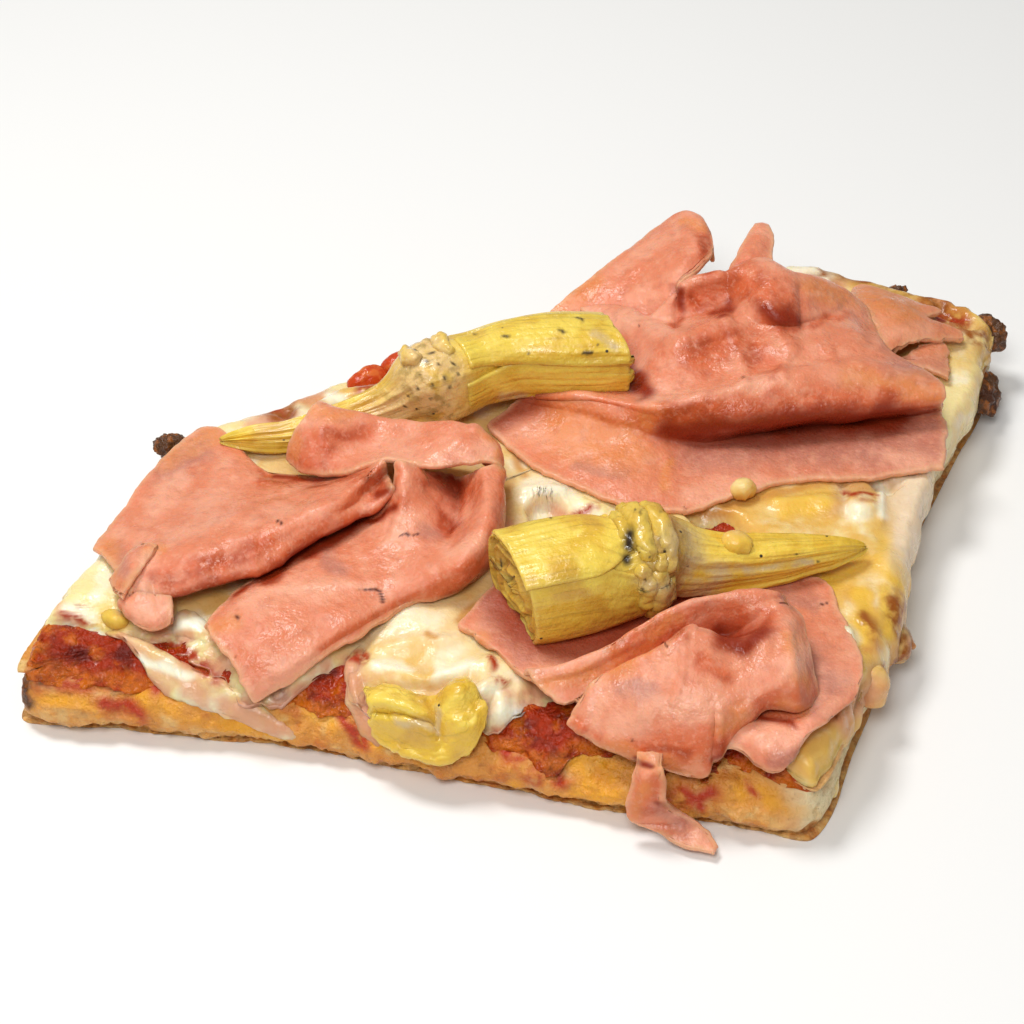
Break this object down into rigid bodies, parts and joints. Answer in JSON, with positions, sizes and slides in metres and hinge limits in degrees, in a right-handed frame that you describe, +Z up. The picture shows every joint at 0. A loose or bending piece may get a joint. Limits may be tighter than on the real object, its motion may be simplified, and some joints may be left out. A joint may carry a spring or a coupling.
{
  "type": "prosciutto and artichoke pizza slice",
  "caption": "Square-cut tray pizza slice with tomato sauce, melted cheese, folded cooked ham and long-stemmed artichoke halves.",
  "frame": {"origin": "on the flat underside of the dough slab, near the middle of its plan", "axes": "+X along the browned front rim to the right, +Y from that rim towards the cut back, +Z up out of the toppings"},
  "size_m": [0.1965, 0.1892, 0.0429],
  "materials": {
    "baked_dough": "baked crust, porous and browned",
    "tomato_sauce": "glossy baked sauce",
    "melted_cheese": "glossy melted cheese",
    "artichoke": "oily vegetable",
    "tomato": "wet baked tomato",
    "cooked_ham": "moist satin",
    "browned_ham": "dry satin, browned"
  },
  "bodies": {
    "root": {"dough_slab": "baked_dough", "tomato_sauce": "tomato_sauce", "melted_cheese": "melted_cheese", "artichoke_leaf": "artichoke", "tomato_piece": "tomato", "ham_front": "cooked_ham", "ham_scrap": "cooked_ham", "ham_back": "cooked_ham", "ham_corner": "browned_ham", "ham_right": "cooked_ham", "ham_left": "cooked_ham", "artichoke_front": "artichoke", "artichoke_back": "artichoke"}
  },
  "joints": []
}
